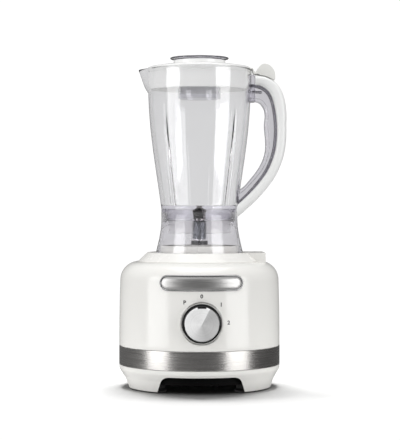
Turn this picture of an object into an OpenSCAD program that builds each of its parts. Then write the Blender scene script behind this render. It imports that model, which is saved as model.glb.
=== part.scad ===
// Countertop blender: a round motor base with a speed knob, and a clear jar that turns into its collar.
// Origin: the drive axis, on the surface that the feet stand on.
// +X is the handle side, -Y the knob side, +Z up.

/* [Base] */
// Outer radius of the base at its trim band
body_r = 96; // [80:0.5:116]
// How much narrower the housing is where its shoulder starts
body_taper = 1.2; // [0:0.1:3]
// Height of the housing's flat top
deck_z = 150.5; // [125:0.1:181]
// Wall of the moulded housing
wall = 2.8; // [2.2:0.1:3.4]
// Height of the trim band's lower edge
band_z = 28; // [26:0.5:34]
// Height of the trim band itself
band_h = 22.3; // [16:0.1:28]
// Thickness of the trim band
band_t = 1.1; // [0.8:0.1:1.5]
// Height of the rubber feet under the pan
foot_h = 10.5; // [9:0.5:12]
// Radius of a rubber foot
foot_r = 13; // [10:0.5:15]

/* [Controls] */
// Height of the knob's axis
knob_z = 82.5; // [76:0.5:86]
// Radius of the knob's metal cap
knob_r = 19.5; // [16:0.1:23.5]
// Width of the black ring that shows round the cap
knob_ring_w = 3.1; // [2:0.1:4]
// How far the knob stands out of its seat
knob_h = 13; // [10:0.5:16]
// Width of the badge
badge_w = 95.5; // [70:0.5:100]
// Height of the badge
badge_h = 18; // [14:0.1:20]
// Height of the badge's middle
badge_z = 128.5; // [124:0.5:131]

/* [Jar] */
// Outer radius of the jar at its rim
jar_r = 62.5; // [52:0.5:75]
// Outer radius of the jar at its waist
waist_r = 45.6; // [44:0.1:48]
// Outer radius of the skirt where it enters the collar
skirt_r = 51.8; // [50:0.1:62.5]
// Height of the skirt
skirt_h = 54.3; // [50:0.1:66]
// Height of the goblet above the skirt
goblet_h = 171; // [142:1:206]
// Wall of the goblet
jar_wall = 3; // [2.5:0.1:3.5]
// Reach of the skirt's locking lugs
lug_reach = 6; // [4:0.5:8]
// Turn from locked to free, in degrees
lock_turn = 28; // [15:1:32]
// Width of the handle cover across the jar
cover_w = 24; // [20:1:28]
// Width of the clear handle frame across the jar
frame_w = 16; // [12:1:20]
// Thickness of the handle cover
cover_t = 11.5; // [9:0.5:13]

/* [Lid] */
// Depth of the lid's skirt inside the jar
lid_depth = 24.5; // [18:0.5:30]
// Wall of the lid
lid_wall = 2.6; // [2:0.1:3.2]
// Outer radius of the measuring cap's cup
cup_r = 25.5; // [21:0.5:31]
// Depth of the measuring cap's cup
cup_depth = 46; // [30:1:55]
// Wall of the measuring cap's cup
cup_wall = 2; // [1.5:0.1:2.5]

/* [Drive] */
// Radius of the motor shaft
motor_shaft_r = 4; // [3:0.1:5]
// Radius of the blade shaft
blade_shaft_r = 4; // [3:0.1:5]
// Reach of the lower blades from the axis
blade_reach = 27; // [22:0.5:32]
// Radius of the drive coupling
drive_r = 12.5; // [10.5:0.1:15]
// Radius of the armature
armature_r = 18.8; // [15:0.1:22.6]

/* [Hidden] */
$fn = 96;
e = 0.01; // lets a cut pass clean through

// Clearances
gap = 0.1; // between pieces fixed together
fit = 0.4; // between pieces that come apart by hand
jar_fit = 0.7; // jar skirt in the collar
run = 0.05; // shaft in a bearing

// Base heights and radii
gland_z = 64;
gland_r = 7;
lead_r = 3.7; // hole for the mains lead
bezel_w = 1.8;
bulge_z = 60;
shoulder_z = 128.5 + (deck_z - 150.5);
collar_h = 10.5;
well_r = skirt_r + jar_fit;
hub_r = skirt_r - 5.2; // ring on the collar's floor, inside the jar's skirt
hub_h = 16;
recess_r = skirt_r + lug_reach + jar_fit;
collar_top_r = recess_r + 4;
collar_foot_r = collar_top_r + collar_h;
deck_r = collar_foot_r - 0.2; // where the shoulder meets the flat deck
shoulder_start_r = body_r - body_taper;
shoulder_r = shoulder_start_r - deck_r;
shoulder_rise = deck_z - shoulder_z;
bulge_r = (pow(shoulder_z - bulge_z, 2) + body_taper * body_taper) / (2 * max(body_taper, 0.01));
rebate_r = body_r - band_t;
pan_z = foot_h;
pan_t = 2.5;
pan_floor = pan_z + pan_t;
ledge_z = band_z - 8;
arch_w = 90; // front and back arches at the top
side_arch_w = 40;
arch_slope = 6; // how much wider each half of an arch is at the foot
arch_round = 10.5;
leg_r = body_r - 9.5;
leg_z = 1.5;
leg_top_z = band_z - 14.2;
pan_r = leg_r - 1;
foot_circle_r = pan_r - foot_r - 1.5;
foot_angle = 48;
boss_circle_r = pan_r - 8;
boss_r = 4.5;
boss_rib_t = 2.4;
boss_rib_w = body_r - wall - boss_circle_r - boss_r + 1;
screw_r = 1.9;
collar_top = deck_z + collar_h;

// Jar heights
well_floor = deck_z + 2.5;
seat_t = 1.7;
jar_z = well_floor + seat_t;
joint_z = jar_z + skirt_h;
rim_z = joint_z + goblet_h;
ledge_up = joint_z - 12; // skirt ledge that the blade carrier hangs on
neck_r = waist_r - 3.8;
carrier_r = neck_r - 4.4;
carrier_wall = 2.5;
carrier_floor = ledge_up - 13;
lug_z = jar_z + 0.5;
lug_h = 4;
lug_half = 8;
recess_floor = well_floor + 1.2;
jar_bore_r = jar_r - jar_wall;
skirt_wall = 2.8;
rib_t = 3.4; // the goblet's mixing ribs
rib_depth = 4.6;
handle_screw_r = 1.6;
shoulder_t = 2.7; // how much thicker the handle cover is at its shoulder

// Drive heights
dog_half = 10;
drive_flange_z = deck_z + 1;
dog_z = drive_flange_z + 4.5;
dog_h = 8;
driven_z = dog_z + dog_h + 1;
driven_h = 5;
bush_r = blade_shaft_r + 3.5;
bush_z = driven_z + 12.3;
bush_h = 18;
blade_z = bush_z + bush_h + 6.5;
blade_t = 1.6;
blade_hub_r = blade_shaft_r + 3.5;
nut_z = blade_z + 2 * blade_t + 2 * e;

// Motor heights, from the pan up
fan_z = pan_floor + 11;
low_plate_z = pan_floor + 32;
plate_t = 3;
bearing_h = 6.5;
bearing_r = motor_shaft_r + 7;
core_z = low_plate_z + 21;
core_h = deck_z - 42.5 - core_z;
high_plate_z = core_z + core_h + 23;
stator_x = armature_r + 14.5;
stator_y = armature_r + 8.5;
leg_x = stator_x - 5;
leg_y = stator_y - 6;
post_x = stator_x + 2;
post_y = stator_y - 2;
post_h = low_plate_z - pan_floor - 4;

// Knob depths, measured out along -Y
seat_y = body_r - 1.9;
knob_back = seat_y - 0.7;
knob_face = knob_back + 4; // front of the black ring
knob_front = seat_y + knob_h;
knob_skirt_r = knob_r + knob_ring_w;
knob_seat_r = knob_skirt_r + 2.2;
knob_core_r = knob_r - 1.3; // boss that the metal cap is pressed on
neck_hole_r = 5.2; // hole for the switch's threaded neck
spindle_r = 3;
pointer_w = 9.6;
switch_y = body_r - wall - 2;
switch_d = 20;

// Interlock plunger, under the front right lug
lug_angles = [45, 135, 225, 315];
plunger_a = lug_angles[3];
plunger_at = skirt_r + lug_reach / 2 + 0.3;
plunger_r = 2.2;
plunger_top = lug_z - 0.2;
plunger_travel = 2.5;
plunger_flange = deck_z - 5.5;
switch_top = plunger_flange - 12;

// Lid heights
lid_r = jar_bore_r - 0.7;
lip_r = jar_r - 0.7;
lid_top = rim_z + 6;
cup_hole_r = cup_r + fit;
upstand_r = cup_hole_r + 5;
upstand_z = lid_top + 4.6;
cap_flange_r = upstand_r + 4.1;
lid_mid_r = (lip_r + upstand_r) / 2;

// Handle lines: [outwards from a straight line between rim and waist, share of the goblet's height down]
// Line between cover and frame
spine = [
    [2, 0.105], [14, 0.12], [23.7, 0.162], [30.3, 0.236], [35.4, 0.345], [38, 0.46],
    [37.4, 0.585], [31.2, 0.709], [19.8, 0.815], [7.2, 0.9], [-8, 0.985]
];
// Finger side of the frame
grip = [
    [-4, 0.228], [11, 0.232], [18.7, 0.273], [21.4, 0.325], [21.7, 0.4], [24.8, 0.5],
    [25.8, 0.57], [23.6, 0.642], [18.4, 0.709], [10.4, 0.777], [3.6, 0.825], [-8, 0.87]
];

// ---- shared shapes ----

function arc(cx, cz, r, a0, a1, n) =
    [for (i = [0:n]) let (a = a0 + (a1 - a0) * i / n) [cx + r * cos(a), cz + r * sin(a)]];

function bezier(a, b, c, d, n) =
    [for (i = [0:n]) let (t = i / n, u = 1 - t)
        pow(u, 3) * a + 3 * u * u * t * b + 3 * u * t * t * c + pow(t, 3) * d];

function backwards(v) = [for (i = [len(v) - 1:-1:0]) v[i]];

// A smooth curve through points, n steps to each stretch
function through(p, n) = concat(
    [for (k = [0:len(p) - 2], i = [0:n - 1])
        let (
            t = i / n,
            a = p[max(k - 1, 0)], b = p[k], c = p[k + 1], d = p[min(k + 2, len(p) - 1)]
        )
        b + 0.5 * t * (c - a + t * (2 * a - 5 * b + 4 * c - d + t * (3 * b - a - 3 * c + d)))],
    [p[len(p) - 1]]
);

// Underside of the lid's lock tab, over the handle's pad
tab_floor = rim_z - spine[0][1] * goblet_h + cover_t + 0.6;

function on_handle(v) = [for (p = v) [jar_r + (waist_r - jar_r) * p[1] + p[0], rim_z - p[1] * goblet_h]];

module revolve(points) rotate_extrude() polygon(points);

// A round ring: inner radius, outer radius, bottom, top
module ring(r0, r1, z0, z1) translate([0, 0, z0]) difference() {
    cylinder(r = r1, h = z1 - z0);
    translate([0, 0, -1]) cylinder(r = r0, h = z1 - z0 + 2);
}

module disc(r, z0, z1) translate([0, 0, z0]) cylinder(r = r, h = z1 - z0);

// Part of a ring, from angle a over da degrees
module sector(r0, r1, z0, z1, a, da)
    rotate([0, 0, a]) rotate_extrude(angle = da) translate([r0, z0]) square([r1 - r0, z1 - z0]);

// A box by its middle and size
module block(middle, size) translate(middle) cube(size, center = true);

// A cylinder out along -Y at the knob's height, between two depths
module knob_disc(r, y0, y1) translate([0, -y0, knob_z]) rotate([90, 0, 0]) cylinder(r = r, h = y1 - y0);

// The same on the back, out along +Y
module back_disc(r, y0, y1) translate([0, y0, gland_z]) rotate([-90, 0, 0]) cylinder(r = r, h = y1 - y0);

module four(x, y) for (sx = [-1, 1], sy = [-1, 1]) translate([sx * x, sy * y, 0]) children();

// A pill standing upright at the front, long side across
module pill(w, h, y0, y1) translate([0, -y0, badge_z]) rotate([90, 0, 0]) linear_extrude(y1 - y0) {
    square([w - h, h], center = true);
    for (s = [-1, 1]) translate([s * (w - h) / 2, 0]) circle(r = h / 2);
}

// ---- base ----

// Outer line of the housing above its trim band, moved outwards by o
function body_profile(o) = concat(
    [[body_r + o, band_z + band_h]],
    arc(body_r - bulge_r, bulge_z, bulge_r + o, 0, asin((shoulder_z - bulge_z) / bulge_r), 4),
    [for (a = [7.5:7.5:90]) [deck_r + (shoulder_r + o) * cos(a), shoulder_z + (shoulder_rise + o) * sin(a)]]
);

// A skin that follows the housing between two offsets
module skin(o0, o1) revolve(concat(body_profile(o1), backwards(body_profile(o0))));

module foot_places() for (s = [0, 180], m = [-1, 1])
    rotate([0, 0, s + m * foot_angle]) translate([0, -foot_circle_r, 0]) children();

module boss_places() for (a = [0:90:270])
    rotate([0, 0, a + 12]) translate([boss_circle_r, 0, 0]) children();

module base_housing() color("whitesmoke") difference() {
    union() {
        revolve(concat(
            [[rebate_r, band_z], [rebate_r, band_z + band_h]],
            body_profile(0),
            [[collar_top_r, deck_z], [collar_top_r, deck_z - wall]],
            backwards(body_profile(-wall)),
            [[body_r - wall - 1, band_z]]
        ));
        intersection() {
            knob_disc(knob_seat_r + 0.6, body_r - 12, seat_y);
            ring(body_r - wall - 0.6, body_r + 5, knob_z - 40, knob_z + 40);
        }
        boss_places() {
            disc(boss_r, pan_floor, band_z + 24);
            translate([boss_r - 1, -boss_rib_t / 2, band_z + 2]) cube([boss_rib_w, boss_rib_t, 22]);
        }
    }
    knob_disc(knob_seat_r, seat_y, body_r + 10);
    knob_disc(knob_skirt_r + 0.6, seat_y - 1.1, body_r + 10);
    knob_disc(neck_hole_r, body_r - 20, body_r + 10);
    intersection() {
        pill(badge_w + 2 * gap, badge_h + 2 * gap, body_r - 30, body_r + 10);
        skin(-1.5, 8);
    }
    back_disc(gland_r + gap, body_r - 20, body_r + 10);
    boss_places() disc(screw_r + 0.1, pan_floor - 1, band_z + 12);
}

module trim_band() color("silver") ring(rebate_r + gap / 2, body_r + gap, band_z, band_z + band_h - gap);

module plinth() color("whitesmoke") difference() {
    revolve([
        [body_r, band_z], [body_r, band_z - 4], [body_r - 2.6, band_z - 9], [leg_r + 4.2, leg_top_z],
        [leg_r + 0.5, leg_z], [leg_r - 2.5, leg_z], [leg_r, leg_top_z], [leg_r, ledge_z],
        [body_r - 5, ledge_z], [body_r - 5, band_z]
    ]);
    for (side = [-1, 1]) {
        arch(arch_w / 2, ledge_z + 0.2, side, 0);
        arch(side_arch_w / 2, band_z - 13, side, 90);
    }
}

// A cut with sloped sides and round upper corners, through one side of the plinth
module arch(half, top_z, side, turn) rotate([0, 0, turn]) translate([0, side * body_r / 2, 0])
    rotate([90, 0, 0]) linear_extrude(body_r, center = true) polygon(concat(
        [[-half - arch_slope, 0], [half + arch_slope, 0]],
        arc(half - arch_round, top_z - arch_round, arch_round, 15, 90, 4),
        arc(arch_round - half, top_z - arch_round, arch_round, 90, 165, 4)
    ));

module base_pan() color("black") difference() {
    union() {
        ring(pan_r - 2.4, pan_r, pan_z, ledge_z);
        ring(pan_r - 2.4, body_r - 5.3, ledge_z, ledge_z + 2.4);
        disc(pan_r - 1, pan_z, pan_floor);
        four(post_x, post_y) disc(boss_r, pan_floor - 1, pan_floor + post_h);
    }
    boss_places() disc(boss_r + 0.4, pan_floor, pan_floor + 2);
    boss_places() disc(screw_r + 0.3, pan_z - 1, pan_floor + 1);
    foot_places() disc(3.6, pan_z - 1, pan_floor + 1);
    four(post_x, post_y) disc(screw_r, pan_floor + 4, pan_floor + post_h + 1);
    for (a = [0:20:340], r = [22, 36]) rotate([0, 0, a]) block([r, 0, pan_z + 1], [9, 2.6, 8]);
}

module rubber_feet() color("dimgray") foot_places() difference() {
    union() {
        revolve([
            [0, 0], [foot_r - 0.4, 0], [foot_r, 1.4], [foot_r - 2.2, 4], [foot_r - 2.6, pan_z], [0, pan_z]
        ]);
        disc(3.4, pan_z - 1, pan_floor + 2.2);
        disc(4.8, pan_floor, pan_floor + 2.2);
    }
    disc(foot_r - 5, -1, 0.8);
}

module base_screws() color("silver") boss_places() difference() {
    union() {
        disc(3.6, pan_z - 2.2, pan_z);
        disc(screw_r, pan_z - 1, band_z + 8);
    }
    block([0, 0, pan_z - 2.2], [5, 0.9, 1.6]);
    block([0, 0, pan_z - 2.2], [0.9, 5, 1.6]);
}

module lock_collar() color("whitesmoke") difference() {
    union() {
        revolve([
            [16, deck_z - 1.5], [collar_top_r - 0.7, deck_z - 1.5], [collar_top_r - 0.7, deck_z],
            [collar_foot_r - 0.4, deck_z], [collar_foot_r, deck_z + 0.6],
            [collar_top_r + 0.6, collar_top - 0.6], [collar_top_r, collar_top],
            [well_r, collar_top], [well_r, well_floor], [16, well_floor]
        ]);
        difference() {
            block([collar_foot_r - 12, 0, collar_top - collar_h], [33, 62, 2 * collar_h]);
            revolve(concat([[20, deck_z - 30], [body_r, deck_z - 30]], body_profile(0), [[20, deck_z]]));
            disc(collar_top_r - 1, deck_z - 20, collar_top + 1);
        }
        ring(16, 19, deck_z - 6, well_floor);
        ring(hub_r - 2.6, hub_r, well_floor - 1, well_floor + hub_h);
    }
    for (a = lug_angles) // way for a lug, with 2 degrees to spare at each end
        sector(
            well_r - 2, recess_r, recess_floor, collar_top + 1,
            a - lug_half - 2, lock_turn + 2 * lug_half + 4);
    revolve(concat(skirt_line(0), backwards(skirt_line(-skirt_wall - jar_fit)))); // way for the jar's skirt
    at_plunger() disc(plunger_r + 0.2, deck_z - 10, collar_top);
    for (a = [20, 140, 260]) rotate([0, 0, a]) translate([36, 0, 0]) disc(2.4, deck_z - 5, well_floor + 1);
}

module badge_frame() color("gray") intersection() {
    difference() {
        pill(badge_w, badge_h, body_r - 30, body_r + 5);
        pill(badge_w - 2 * bezel_w, badge_h - 2 * bezel_w, body_r - 31, body_r + 6);
    }
    skin(-1.4, 1.2);
}

module badge_plate() color("silver") intersection() {
    pill(badge_w - 2 * bezel_w - gap, badge_h - 2 * bezel_w - gap, body_r - 30, body_r + 5);
    skin(-1.4, 0.8);
}

module rotary_switch() color("darkslategray") difference() {
    union() {
        block([0, -(switch_y - switch_d / 2), knob_z], [28, switch_d, 28]);
        knob_disc(4.9, switch_y - 1, seat_y - 1.4);
        for (x = [-8, 0, 8]) block([x, -(switch_y - switch_d - 3), knob_z], [4, 8, 0.8]);
    }
    knob_disc(spindle_r + run, switch_y - 12, body_r + 10);
}

module cord_gland() color("dimgray") difference() {
    union() {
        back_disc(gland_r, body_r - 10, body_r + 0.3);
        back_disc(gland_r + 2.5, body_r + 0.2, body_r + 2.4);
    }
    back_disc(lead_r, body_r - 20, body_r + 10);
}

module speed_board() color("darkgreen") {
    block([0, boss_circle_r - 14, pan_floor + 30], [52, 1.6, 60]);
    block([-14, boss_circle_r - 18.8, pan_floor + 40], [14, 8, 18]);
    translate([12, boss_circle_r - 14.8, pan_floor + 42]) rotate([90, 0, 0]) cylinder(r = 6, h = 14);
    block([8, boss_circle_r - 17.8, pan_floor + 20], [22, 6, 10]);
}

// ---- motor ----

module stator_core() color("slategray") difference() {
    translate([0, 0, core_z]) linear_extrude(core_h) difference() {
        square([2 * stator_x, 2 * stator_y], center = true);
        circle(r = armature_r + 0.5);
        for (s = [-1, 1]) translate([s * (armature_r + 3.2), 0]) square([8, 18], center = true);
    }
    four(stator_x + 1, stator_y + 1) rotate([0, 0, 45])
        block([0, 0, core_z + core_h / 2], [9, 9, core_h + 2]);
}

module field_coils() color("chocolate") for (a = [90, 270], z = [core_z - 7.5, core_z + core_h])
    sector(armature_r + 1.5, stator_y - 0.5, z, z + 7.5, a - 55, 110);

// A bearing bracket: a plate, its bearing seat above it, and four legs
module motor_bracket(z, seat_z, leg_z0, leg_z1, plate_x, plate_y) difference() {
    union() {
        block([0, 0, z + plate_t / 2], [2 * plate_x, 2 * plate_y, plate_t]);
        disc(bearing_r + 2.5, seat_z, seat_z + bearing_h);
        four(leg_x, leg_y) disc(2.5, leg_z0, leg_z1);
    }
    disc(bearing_r - 2.5, z - 1, z + plate_t + 1);
    disc(bearing_r, seat_z, seat_z + bearing_h + 1);
}

module upper_bracket() color("lightgray")
    motor_bracket(
        high_plate_z, high_plate_z + plate_t, core_z + core_h, high_plate_z + 1, stator_x, stator_y - 1);

module lower_bracket() color("lightgray") difference() {
    motor_bracket(low_plate_z, low_plate_z + plate_t, low_plate_z + 1, core_z, post_x + 6, post_y + 6);
    four(post_x, post_y) disc(screw_r + 0.2, low_plate_z - 1, low_plate_z + plate_t + 1);
}

module ball_bearing(z) color("silver") difference() {
    ring(motor_shaft_r + run, bearing_r, z, z + bearing_h);
    for (end = [-0.6, bearing_h - 0.2]) ring(motor_shaft_r + 2, bearing_r - 1.6, z + end, z + end + 0.8);
}

module upper_bearing() ball_bearing(high_plate_z + plate_t);

module lower_bearing() ball_bearing(low_plate_z + plate_t);

module motor_bushes() color("dimgray") four(post_x, post_y)
    ring(screw_r + 0.3, boss_r + 0.5, pan_floor + post_h, low_plate_z);

module motor_screws() color("silver") four(post_x, post_y) {
    disc(3.6, low_plate_z + plate_t, low_plate_z + plate_t + 2.2);
    disc(screw_r - 0.1, pan_floor + 8, low_plate_z + plate_t + 1);
}

brush_z = core_z + core_h + 14;
commutator_r = armature_r - 7.5;

module brush_holders() color("goldenrod") for (s = [-1, 1]) difference() {
    union() {
        block([s * (commutator_r + 10.5), 0, brush_z], [17, 8.4, 8.4]);
        block(
            [s * (commutator_r + 10.5), 0, (brush_z + 4 + high_plate_z) / 2],
            [8, 8.4, high_plate_z - brush_z - 4]);
    }
    block([s * (commutator_r + 10), 0, brush_z], [20, 6.1, 6.1]);
}

module carbon_brushes() color("black") for (s = [-1, 1])
    block([s * (commutator_r + 7.2), 0, brush_z], [14, 6, 6]);

module motor_shaft() color("silver") disc(motor_shaft_r, fan_z - 2, dog_z - 1);

module armature_core() color("gray") difference() {
    ring(motor_shaft_r, armature_r, core_z, core_z + core_h);
    for (a = [0:30:330]) rotate([0, 0, a])
        block([armature_r - 2, 0, core_z + core_h / 2], [5, 2.2, core_h + 2]);
}

module armature_windings() color("chocolate") {
    ring(motor_shaft_r, armature_r - 2.5, core_z - 7, core_z);
    ring(motor_shaft_r, armature_r - 2.5, core_z + core_h, core_z + core_h + 7);
}

module commutator() color("peru") difference() {
    ring(motor_shaft_r, commutator_r, brush_z - 6.5, brush_z + 6);
    for (a = [0:30:330]) rotate([0, 0, a]) block([commutator_r, 0, brush_z], [1.2, 0.6, 14]);
}

module cooling_fan() color("black") {
    ring(motor_shaft_r, 7, fan_z, fan_z + 12);
    ring(7 - e, 30, fan_z + 10.5, fan_z + 12);
    for (a = [0:36:324]) rotate([0, 0, a]) block([18.2, 0, fan_z + 5.5], [23, 1.4, 10.2]);
}

// Three dogs on a coupling
module dogs(z0, z1, a0) for (a = [0:120:240])
    sector(drive_r - 7.5, drive_r - 0.5, z0, z1, a0 + a - dog_half, 2 * dog_half);

module drive_dog() color("dimgray") difference() {
    union() {
        disc(drive_r + 0.5, drive_flange_z, dog_z);
        dogs(dog_z - e, dog_z + dog_h, 0);
    }
    disc(motor_shaft_r, drive_flange_z - 1, dog_z - 1);
}

// ---- knob ----

module knob_body() color("black") difference() {
    union() {
        knob_disc(knob_skirt_r, knob_back, knob_face);
        knob_disc(knob_core_r, knob_back + 1, knob_front - 1.3);
    }
    knob_disc(spindle_r, knob_back - 1, knob_front - 4);
}

module knob_cap() color("silver") difference() {
    union() {
        knob_disc(knob_r, knob_face, knob_front - 1);
        translate([0, -(knob_front - 1), knob_z]) rotate([90, 0, 0])
            cylinder(r1 = knob_r, r2 = knob_r - 1, h = 1);
    }
    knob_disc(knob_core_r, knob_back, knob_front - 1.3);
    block([0, -knob_front, knob_z + knob_r], [pointer_w + 0.2, 30, 3]);
}

module knob_pointer() color("black") difference() {
    intersection() {
        block([0, -(knob_face + knob_front) / 2, knob_z + knob_r], [pointer_w, knob_front - knob_face, 2.8]);
        knob_disc(knob_r + 0.4, knob_back, knob_front + 1);
    }
    knob_disc(knob_core_r, knob_back, knob_front - 1.3);
}

module switch_spindle() color("silver") knob_disc(spindle_r, switch_y - 11.5, knob_front - 4);

// ---- interlock ----

module at_plunger() rotate([0, 0, plunger_a]) translate([plunger_at, 0, 0]) children();

module interlock_switch() color("black") at_plunger() difference() {
    hanger_top = deck_z - 1.5;
    union() {
        block([0, 0, switch_top - 8], [12, 20, 16]);
        for (s = [-1, 1]) block([0, s * 8, (switch_top + hanger_top) / 2], [6, 2, hanger_top - switch_top]);
    }
    disc(plunger_r + 0.3, switch_top - 3, switch_top + 1);
}

// One closed coil spring round the plunger's stem
spring_r = plunger_r + 0.9;
wire_r = 0.4;
spring_turns = 5;
spring_steps = 14;
module plunger_spring() color("silver") at_plunger() {
    n = spring_turns * spring_steps;
    rise = plunger_flange - switch_top - 2 * wire_r - 0.2;
    points = [for (i = [0:n], k = [0:5])
        let (a = 360 * i / spring_steps, r = spring_r + wire_r * cos(60 * k))
        [r * cos(a), r * sin(a), switch_top + wire_r + 0.1 + rise * i / n + wire_r * sin(60 * k)]];
    sides = [for (i = [0:n - 1], k = [0:5]) let (j = (k + 1) % 6)
        [6 * i + j, 6 * i + 6 + j, 6 * i + 6 + k, 6 * i + k]];
    polyhedron(points, concat([[5, 4, 3, 2, 1, 0]], sides, [[for (k = [0:5]) 6 * n + k]]));
}

module interlock_plunger() color("orangered") at_plunger() {
    disc(plunger_r, switch_top + plunger_travel + 0.5, plunger_top);
    disc(plunger_r + 1.6, plunger_flange, plunger_flange + 1.5);
}

module seat_ring() color("darkgray") ring(hub_r + fit, skirt_r - 0.2, well_floor, jar_z);

// ---- jar ----

// The jar's outer line from skirt to rim, moved outwards by o
skirt_top = jar_z + 45;
function skirt_line(o) = bezier(
    [skirt_r + o, jar_z + 7.3], [skirt_r + o - 1.4, jar_z + 14.5],
    [waist_r + o, jar_z + 30], [waist_r + o, skirt_top], 12);

function goblet_line(o) = concat(
    bezier(
        [waist_r + o, joint_z + 3], [waist_r + 4.4 + o, joint_z + 0.24 * goblet_h],
        [jar_r - 2.2 + o, joint_z + 0.53 * goblet_h], [jar_r - 1.3 + o, joint_z + 0.83 * goblet_h], 16),
    [[jar_r + o, joint_z + 0.87 * goblet_h]]
);

module goblet_shape(o, z0, z1, spout_o) {
    revolve(concat([[20, z0], [waist_r + o, z0]], goblet_line(o), [[jar_r + o, z1], [20, z1]]));
    disc(21, z0, z1);
    hull() {
        translate([-(jar_r + 8 + spout_o), 0, z1 - 2.6]) cylinder(r = 2.4 + spout_o / 2, h = 1.2, $fn = 24);
        translate([-(jar_r - 8), 0, z1 - 1]) scale([1, 1.25, 1])
            cylinder(r = 13 + spout_o, h = 1, $fn = 32);
        translate([-(jar_r + 1.5 + spout_o), 0, z1 - 15 - spout_o]) cylinder(r = 3, h = 1, $fn = 24);
        translate([-(jar_r - 5 + spout_o), 0, z1 - 28 - spout_o]) cylinder(r = 3, h = 1, $fn = 24);
    }
}

// Four mixing ribs down the inside, deepest at the bottom
module ribs() intersection() {
    inside = goblet_line(-jar_wall);
    revolve(concat(
        [for (k = [16:-1:0]) inside[k] + [0.3, 0]],
        [for (k = [0:16]) inside[k] - [max(0.2, rib_depth * (1 - pow(k / 13.5, 2))), 0]]
    ));
    for (a = [45, 135]) rotate([0, 0, a])
        block([0, 0, joint_z + goblet_h / 2], [2 * jar_r, rib_t, goblet_h]);
}

module goblet() color("gainsboro") {
    difference() {
        goblet_shape(0, joint_z, rim_z, 0);
        difference() {
            goblet_shape(-jar_wall, joint_z + 2.9, rim_z + 1, -2.2);
            ring(neck_r - 3, waist_r + 5, joint_z - 1, joint_z + 3);
        }
        disc(neck_r - 3, joint_z - 1, joint_z + 4);
    }
    ring(neck_r - 3, neck_r, ledge_up + 3.6, joint_z + e);
    ribs();
}

module jar_skirt() color("lightgray") {
    revolve(concat(
        [[skirt_r, jar_z]], skirt_line(0), [[waist_r, joint_z]],
        [[neck_r + fit, joint_z], [neck_r + fit, ledge_up]],
        [[carrier_r + fit, ledge_up], [carrier_r + fit, ledge_up - 2.5]],
        [for (p = backwards(skirt_line(-skirt_wall))) if (p[1] < ledge_up - 6) p],
        [[skirt_r - skirt_wall, jar_z]]
    ));
    for (a = lug_angles)
        sector(skirt_r - 1, skirt_r + lug_reach, lug_z, lug_z + lug_h, a - lug_half, 2 * lug_half);
}

module blade_carrier() color("lightgray") difference() {
    union() {
        revolve([
            [bush_r + 1, carrier_floor], [carrier_r, carrier_floor], [carrier_r, ledge_up],
            [neck_r, ledge_up], [neck_r, ledge_up + 2], [carrier_r - carrier_wall, ledge_up + 2],
            [carrier_r - carrier_wall, carrier_floor + 3], [bush_r + 1, carrier_floor + 3]
        ]);
        disc(bush_r + 3, bush_z - 2, bush_z + bush_h + 2);
    }
    disc(bush_r, bush_z - 3, bush_z + bush_h + 3);
}

module carrier_seal() color("white") ring(neck_r - 3, neck_r - 0.2, ledge_up + 2, ledge_up + 3.6);

module blade_bush() color("darkgoldenrod") ring(blade_shaft_r + run, bush_r, bush_z, bush_z + bush_h);

module shaft_seal() color("black")
    ring(blade_shaft_r + 0.15, bush_r - 0.05, bush_z + bush_h, bush_z + bush_h + 1.8);

// What the handle must stay clear of: the jar's own outside
module jar_outside(o) revolve(concat(
    [[20, jar_z], [skirt_r + o, jar_z]], skirt_line(o), [[waist_r + o, joint_z]],
    goblet_line(o), [[jar_r + o, rim_z], [20, rim_z]]
));

// Mounting pad at the top of the handle, against the jar's side
module handle_pad(o, w) {
    top = tab_floor - 1.2 + o;
    foot = rim_z - grip[0][1] * goblet_h - o;
    block([jar_r - 1, 0, (top + foot) / 2], [10 + 2 * o, w, top - foot]);
}

module handle_slab(outline, w)
    translate([0, w / 2, 0]) rotate([90, 0, 0]) linear_extrude(w) polygon(outline);

line_steps = 4;
spine_line = through(on_handle(spine), line_steps);
grip_line = through(on_handle(grip), line_steps);
screw_z = rim_z - 0.16 * goblet_h;

// The cover's back, thickest at the handle's shoulder, moved outwards by o
function cover_back(o) = [for (i = [0:len(spine_line) - 1])
    let (
        along = spine_line[min(i + 1, len(spine_line) - 1)] - spine_line[max(i - 1, 0)],
        thick = cover_t + shoulder_t * max(0, 1 - pow((i / line_steps - 2.4) / 2, 2))
    )
    spine_line[i] + (thick + o) * [-along[1], along[0]] / norm(along)];

module cover_shape(o, w) handle_slab(concat(spine_line, backwards(cover_back(o))), w);

module handle_frame() color("gainsboro") difference() {
    union() {
        handle_slab(
            concat([[jar_r - 6, rim_z - 0.11 * goblet_h]], spine_line, backwards(grip_line)), frame_w);
        handle_pad(0, cover_w);
    }
    jar_outside(gap);
    translate([jar_r - 10, 0, screw_z]) rotate([0, 90, 0]) cylinder(r = handle_screw_r + gap, h = 24);
}

module handle_cover() color("white") difference() {
    cover_shape(0, cover_w);
    jar_outside(gap);
    for (up = [0, cover_t]) translate([0, 0, up]) handle_pad(gap, cover_w + 2);
}

module handle_screws() color("silver")
    translate([jar_r + 0.3, 0, screw_z]) rotate([0, 90, 0]) cylinder(r = handle_screw_r, h = 12);

// ---- blades ----

module blade_shaft() color("silver") disc(blade_shaft_r, driven_z + 1, nut_z + 5.8);

module blade_spacer() color("silver")
    ring(blade_shaft_r, blade_shaft_r + 1.9, bush_z + bush_h + 2.2, blade_z);

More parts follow.
